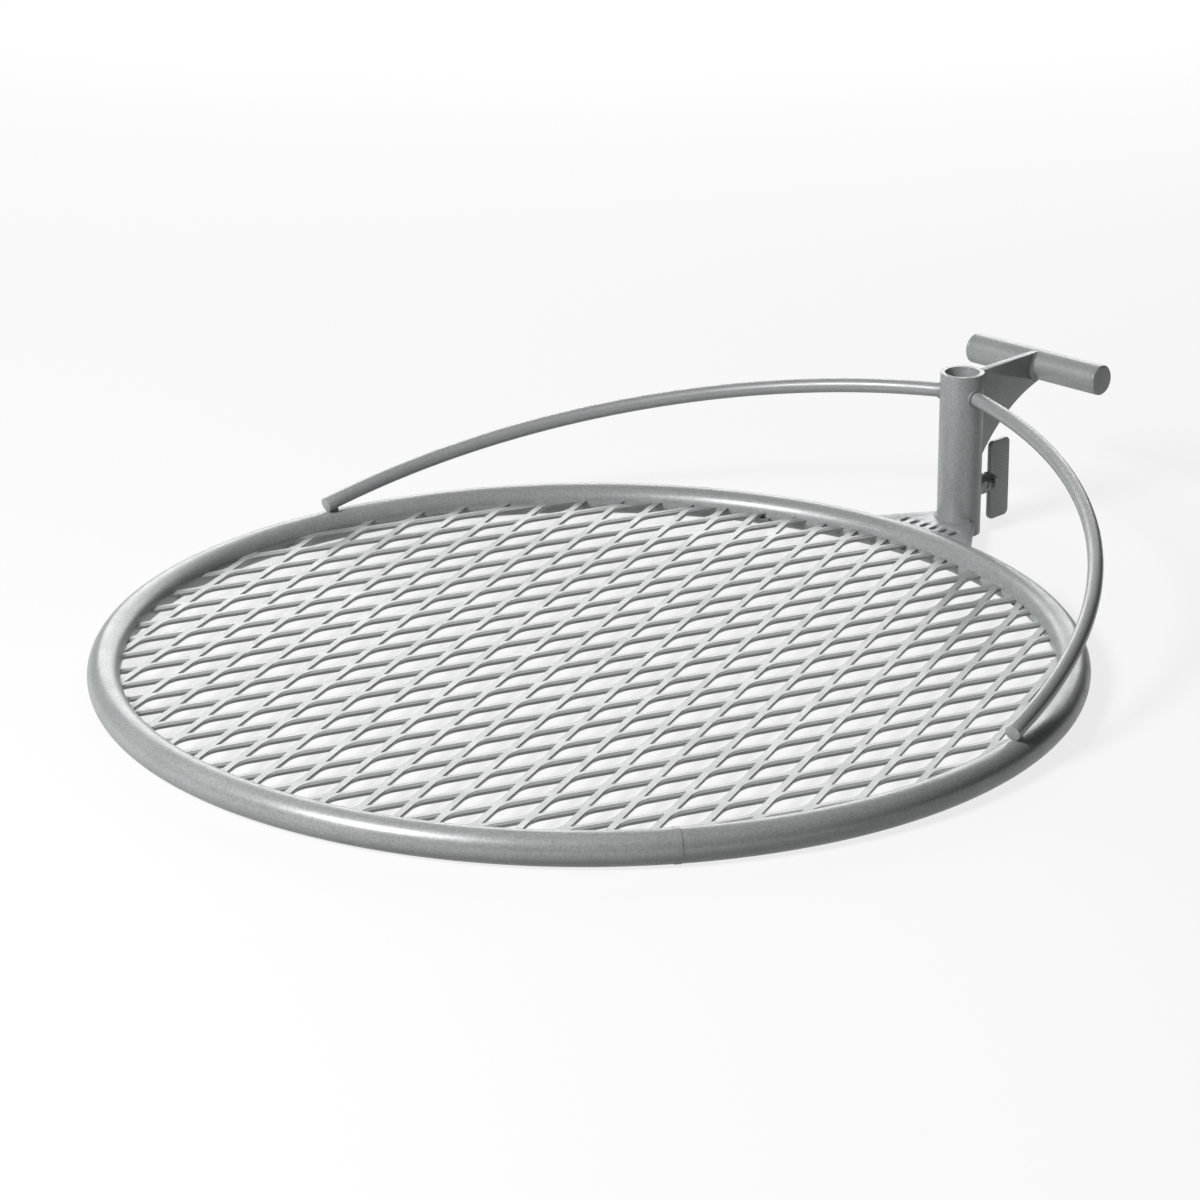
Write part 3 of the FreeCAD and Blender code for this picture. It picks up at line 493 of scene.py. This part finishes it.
def opening_rings(sizes, long):
    """The opening as a stack of rings from above the sheet to below it: a small chamfer at the top, a slanting
    shoulder, a leaning wall and a straight run out at the bottom."""
    outline = opening_outline(sizes, long)
    shoulder, wall = np.array(sizes.shoulder), np.array(sizes.wall)
    chamfer = sizes.edge_chamfer
    wide = grown(outline, chamfer)
    top = sizes.top_level
    rings = [(wide, 0.0, 0.0, top + 2 * chamfer), (wide, 0.0, 0.0, top), (outline, 0.0, 0.0, top - chamfer)]
    rings.append((outline, shoulder[0], shoulder[1], top + shoulder[2]))
    low = shoulder + wall
    rings.append((outline, low[0], low[1], top + low[2]))
    rings.append((outline, low[0], low[1], top + low[2] - 4 * chamfer))
    stack = [np.column_stack([ring + (x, y), np.full(len(ring), z)]) for ring, x, y, z in rings]
    return np.stack(stack)


def cutters(sizes):
    """All openings as one mesh: copies of the long and the short stack in columns that alternate, each column
    pushed along the grate."""
    reach = RIM_RADIUS + sizes.long_pitch
    columns = int(reach / sizes.short_pitch) + 2
    rows = int(reach / sizes.long_pitch) + 2
    points, faces, total = [], [], 0
    for long in (True, False):
        stack = opening_rings(sizes, long)
        levels, count = stack.shape[:2]
        shell = [list(face)[::-1] for face in grid_faces(levels, count)]
        shell += [list(range(count)), [(levels - 1) * count + i for i in range(count)][::-1]]
        start = sizes.long_start if long else sizes.short_start
        for column in range(-columns, columns + 1):
            for row in range(-rows, rows + 1):
                x, y = start[0] + column * sizes.short_pitch, start[1] + row * sizes.long_pitch
                if math.hypot(x, y + sizes.long_pitch / 2) > reach:
                    continue
                points.append((stack + (x, y, 0)).reshape(-1, 3))
                faces += [[total + i for i in face] for face in shell]
                total += levels * count
    turn = np.array(Matrix.Rotation(-sizes.lie, 3, "Z"))
    return np.concatenate(points) @ turn.T + RIM_CENTRE, faces


def sheet_disc(sizes):
    """The uncut sheet: a round plate that meets the rim's inner wall."""
    depth = -(sizes.shoulder[2] + sizes.wall[2])
    radius = RIM_RADIUS - TUBE_RADIUS + sizes.edge_bite
    count = DISC_POINTS
    turns = np.linspace(0, WHOLE_TURN, count, endpoint=False)
    ring = np.stack([radius * np.cos(turns), radius * np.sin(turns), np.zeros(count)], -1)
    levels = [(0, 0, sizes.top_level - depth), (0, 0, sizes.top_level)]
    points = np.concatenate([ring + level for level in levels]) + RIM_CENTRE
    faces = grid_faces(2, count).tolist() + [list(range(count))[::-1], list(range(count, 2 * count))]
    return points, faces


class GRATE_OT_deck(bpy.types.Operator):
    """Makes the expanded metal and finishes its tack welds"""

    bl_idname = "grate.deck"
    bl_label = "Expanded metal"

    def execute(self, context):
        sizes = context.scene.grate_deck
        finish = context.scene.grate_finish
        deck = mesh_object("expanded_metal", *sheet_disc(sizes))
        openings = mesh_object("openings", *cutters(sizes))
        cut = deck.modifiers.new("cut", "BOOLEAN")
        cut.operation = "DIFFERENCE"
        cut.solver = "MANIFOLD"
        cut.object = openings
        settle(deck)
        bpy.data.objects.remove(openings)
        deck.data.polygons.foreach_set("use_smooth", np.ones(len(deck.data.polygons), bool))
        deck.data.set_sharp_from_angle(angle=DECK_CREASE)
        if len(deck.data.polygons) < LEAST_DECK_FACES:
            raise RuntimeError("the expanded metal was not cut")
        mesh_steel = steel("expanded_satin_steel", finish, finish.mesh_colour, finish.gloss, speckle=0.03)
        dress(deck, "mesh_deck", mesh_steel, "grate")
        repaint("mesh_tack_welds", steel("tack_weld_steel", finish, finish.weld_colour, finish.gloss, ripple=0.8))
        return {"FINISHED"}


# Plates, sleeve, rods, handle


class GRATE_OT_plates(bpy.types.Operator):
    """Eases the edges of the support plate and the gusset, and finishes them"""

    bl_idname = "grate.plates"
    bl_label = "Plates"

    def execute(self, context):
        finish = context.scene.grate_finish
        width = context.scene.grate_edges.plate_edge
        plate = steel("plate_satin_steel", finish, finish.plate_colour, finish.gloss)
        for node, name in (("support_plate", "support_plate_eased"), ("handle_gusset", "gusset_eased")):
            dress(eased_copy(node, name, width), node, plate, "grate")
        return {"FINISHED"}


class GRATE_OT_sleeve(bpy.types.Operator):
    """Eases the ends of the post sleeve and finishes it"""

    bl_idname = "grate.sleeve"
    bl_label = "Post sleeve"

    def execute(self, context):
        finish = context.scene.grate_finish
        width = context.scene.grate_edges.tube_edge
        tube = steel("sleeve_satin_steel", finish, finish.plate_colour, finish.gloss, speckle=0.13)
        dress(eased_copy("post_sleeve", "post_sleeve_eased", width), "post_sleeve", tube, "grate")
        return {"FINISHED"}


class GRATE_OT_rods(bpy.types.Operator):
    """Eases the ends of the two brace rods and finishes them"""

    bl_idname = "grate.rods"
    bl_label = "Brace rods"

    def execute(self, context):
        finish = context.scene.grate_finish
        width = context.scene.grate_edges.tube_edge
        rod = steel("rod_satin_steel", finish, finish.pipe_colour, finish.gloss)
        for node in ("brace_rod_left", "brace_rod_right"):
            dress(eased_copy(node, node + "_eased", width, 50.0), node, rod, "grate")
        return {"FINISHED"}


class GRATE_OT_handle(bpy.types.Operator):
    """Finishes the handle's tube and caps"""

    bl_idname = "grate.handle"
    bl_label = "T handle"

    def execute(self, context):
        finish = context.scene.grate_finish
        bar = steel("handle_satin_steel", finish, finish.pipe_colour, finish.gloss)
        repaint("handle_tube", bar)
        width = context.scene.grate_edges.fastener_edge
        dress(eased_copy("handle_end_caps", "handle_caps_eased", width), "handle_end_caps", bar, "grate")
        return {"FINISHED"}


# Clamp


def thread_surface(pitch, depth):
    """A threaded rod along Y with a chamfered tip: its radius falls below the crest by the depth times a blunt
    triangle wave of (place along the rod / pitch - angle / whole turn), and near the tip it follows the chamfer."""
    around, step = THREAD_AROUND, pitch / THREAD_STEPS
    low, high = SCREW_LOW[1], SCREW_HIGH[1]
    centre = (SCREW_LOW + SCREW_HIGH) / 2
    places = np.linspace(low, high, int((high - low) / step))
    turns = np.linspace(0, WHOLE_TURN, around, endpoint=False)
    y, angle = np.meshgrid(places, turns, indexing="ij")
    phase = np.mod(y / pitch - angle / WHOLE_TURN, 1.0)
    groove = np.clip(THREAD_SLOPE * (1 - np.abs(2 * phase - 1)) - THREAD_CREST, 0, 1)
    radius = SCREW_RADIUS - depth * groove
    radius = np.minimum(radius, SCREW_RADIUS - TIP_CHAMFER + np.clip(y - low, 0, None))
    points = np.stack([centre[0] + radius * np.sin(angle), y, centre[2] + radius * np.cos(angle)], -1)
    rows = len(places)
    faces = grid_faces(rows, around).tolist()
    faces.append(list(range(around))[::-1])
    faces.append([(rows - 1) * around + i for i in range(around)])
    return points.reshape(-1, 3), faces


class GRATE_OT_clamp(bpy.types.Operator):
    """Makes the clamp screw's thread and eases nut, washers and wing"""

    bl_idname = "grate.clamp"
    bl_label = "Clamp screw"

    def execute(self, context):
        finish = context.scene.grate_finish
        edges = context.scene.grate_edges
        zinc = steel("fastener_zinc_steel", finish, finish.fastener_colour, finish.gloss - 0.04, speckle=0.03)
        for node, name, body in (
            ("clamp_nut", "clamp_nut_eased", "grate"),
            ("clamp_washers", "clamp_washers_eased", "washers"),
        ):
            dress(eased_copy(node, name, edges.fastener_edge), node, zinc, body)
        points, faces = thread_surface(edges.thread_pitch, edges.thread_depth)
        screw = mesh_object("clamp_screw_threaded", points, faces)
        dress(screw, "clamp_screw", zinc, "wing_screw")
        plate = steel("wing_satin_steel", finish, finish.plate_colour, finish.gloss, speckle=0.15)
        wing = eased_copy("wing_plate", "wing_plate_eased", edges.plate_edge)
        dress(wing, "wing_plate", plate, "wing_screw")
        return {"FINISHED"}


class GRATE_OT_welds(bpy.types.Operator):
    """Finishes the weld beads"""

    bl_idname = "grate.welds"
    bl_label = "Weld beads"

    def execute(self, context):
        finish = context.scene.grate_finish
        bead = steel("bead_steel", finish, finish.weld_colour, BEAD_ROUGHNESS, ripple=0.8)
        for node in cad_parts:
            if node.endswith("welds") or node == "clamp_nut_weld":
                repaint(node, bead)
        return {"FINISHED"}


# Stage


def floor_material(stage):
    """A pale floor. The camera and the rays that shine off or through a thing see it near white, with the grate's
    shadow; for the light that it throws on the grate it is a plain grey."""
    material = bpy.data.materials.new("pale_floor")
    material.use_nodes = True
    nodes = NodeTree(material.node_tree)
    path = nodes.add("ShaderNodeLightPath")
    seen = path.outputs["Is Camera Ray"]
    for kind in ("Is Glossy Ray", "Is Transmission Ray"):
        either = nodes.add("ShaderNodeMath", operation="MAXIMUM")
        nodes.join(seen, either.inputs[0])
        nodes.join(path.outputs[kind], either.inputs[1])
        seen = either.outputs[0]
    pale = nodes.add("ShaderNodeBsdfDiffuse", Color=(0.92, 0.92, 0.92, 1))
    lift = nodes.add("ShaderNodeEmission", Color=(1, 1, 1, 1), Strength=1.0)
    bright = nodes.add("ShaderNodeMixShader", Fac=stage.floor_white)
    nodes.join(pale.outputs[0], bright.inputs[1])
    nodes.join(lift.outputs[0], bright.inputs[2])
    grey = nodes.add("ShaderNodeBsdfDiffuse", Color=(stage.floor_grey,) * 3 + (1,))
    choice = nodes.add("ShaderNodeMixShader")
    nodes.join(seen, choice.inputs[0])
    nodes.join(grey.outputs[0], choice.inputs[1])
    nodes.join(bright.outputs[0], choice.inputs[2])
    output = nodes.add("ShaderNodeOutputMaterial")
    nodes.join(choice.outputs[0], output.inputs["Surface"])
    return material


def paint_world(scene, strength):
    """Even light from all round."""
    world = bpy.data.worlds.new("studio")
    world.use_nodes = True
    nodes = NodeTree(world.node_tree)
    light = nodes.add("ShaderNodeBackground", Color=(1, 1, 1, 1), Strength=strength)
    output = nodes.add("ShaderNodeOutputWorld")
    nodes.join(light.outputs[0], output.inputs["Surface"])
    scene.world = world


def set_camera(scene, stage):
    """The photograph's camera: it looks along its azimuth and down by its elevation, with a slight roll."""
    turn, drop = stage.azimuth, stage.elevation
    ahead = Vector((-math.sin(turn) * math.cos(drop), math.cos(turn) * math.cos(drop), -math.sin(drop)))
    right = Vector((math.cos(turn), math.sin(turn), 0))
    up = right.cross(ahead)
    leaned = math.cos(stage.roll) * right + math.sin(stage.roll) * up
    up = leaned.cross(ahead)
    camera = bpy.data.objects.new("photo_camera", bpy.data.cameras.new("photo_camera"))
    scene.collection.objects.link(camera)
    camera.matrix_world = Matrix.Translation(stage.camera_place) @ Matrix((leaned, up, -ahead)).transposed().to_4x4()
    camera.data.sensor_width = 36.0
    camera.data.lens = stage.lens
    camera.data.clip_end = 100.0
    scene.camera = camera


def add_lamp(scene, name, place, size, power):
    """A soft rectangular lamp that faces the grate."""
    lamp = bpy.data.lights.new(name, "AREA")
    lamp.shape = "RECTANGLE"
    lamp.size, lamp.size_y = size
    lamp.energy = power
    item = bpy.data.objects.new(name, lamp)
    scene.collection.objects.link(item)
    item.location = place
    item.rotation_euler = (Vector(LAMP_AIM) - item.location).to_track_quat("-Z", "Y").to_euler()


class GRATE_OT_stage(bpy.types.Operator):
    """Sets the camera, the pale floor and the studio light"""

    bl_idname = "grate.stage"
    bl_label = "Stage"

    def execute(self, context):
        scene = context.scene
        stage = scene.grate_stage
        scene.view_settings.view_transform = "Standard"
        set_camera(scene, stage)
        paint_world(scene, stage.sky)
        half = stage.floor_size
        corners = np.array([(-half, -half, 0), (half, -half, 0), (half, half, 0), (-half, half, 0)], float)
        floor = mesh_object("floor", corners, [(0, 1, 2, 3)])
        floor.data.materials.append(floor_material(stage))
        add_lamp(scene, "back_light", stage.back_place, stage.back_size, stage.back_light)
        add_lamp(scene, "key_light", stage.key_place, stage.key_size, stage.key_light)
        return {"FINISHED"}


class GRATE_PT_sidebar(bpy.types.Panel):
    """Lists the grate's pieces"""

    bl_label = "Grill grate"
    bl_idname = "GRATE_PT_sidebar"
    bl_space_type = "VIEW_3D"
    bl_region_type = "UI"
    bl_category = "Grill grate"

    def draw(self, context):
        scene = context.scene
        for group in (getattr(scene, name) for name in GROUPS):
            box = self.layout.box()
            for name in type(group).__annotations__:
                box.prop(group, name)
        for operator in OPERATORS:
            self.layout.operator(operator.bl_idname)


GROUPS = {
    "grate_deck": DeckSizes,
    "grate_edges": EdgeSizes,
    "grate_finish": SteelFinish,
    "grate_stage": StageSettings,
}
OPERATORS = (
    GRATE_OT_rim,
    GRATE_OT_deck,
    GRATE_OT_plates,
    GRATE_OT_sleeve,
    GRATE_OT_rods,
    GRATE_OT_handle,
    GRATE_OT_clamp,
    GRATE_OT_welds,
    GRATE_OT_stage,
)


def register():
    """Adds the classes and the scene's settings."""
    for item in (*GROUPS.values(), *OPERATORS, GRATE_PT_sidebar):
        bpy.utils.register_class(item)
    for name, group in GROUPS.items():
        setattr(bpy.types.Scene, name, PointerProperty(type=group))


def unregister():
    """Takes the classes and the scene's settings away."""
    for name in GROUPS:
        delattr(bpy.types.Scene, name)
    for item in reversed((*GROUPS.values(), *OPERATORS, GRATE_PT_sidebar)):
        bpy.utils.unregister_class(item)


def main():
    """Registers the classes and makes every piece."""
    register()
    bpy.ops.grate.welds()
    bpy.ops.grate.rim()
    bpy.ops.grate.deck()
    bpy.ops.grate.plates()
    bpy.ops.grate.sleeve()
    bpy.ops.grate.rods()
    bpy.ops.grate.handle()
    bpy.ops.grate.clamp()
    bpy.ops.grate.stage()


if __name__ == "__main__":
    main()
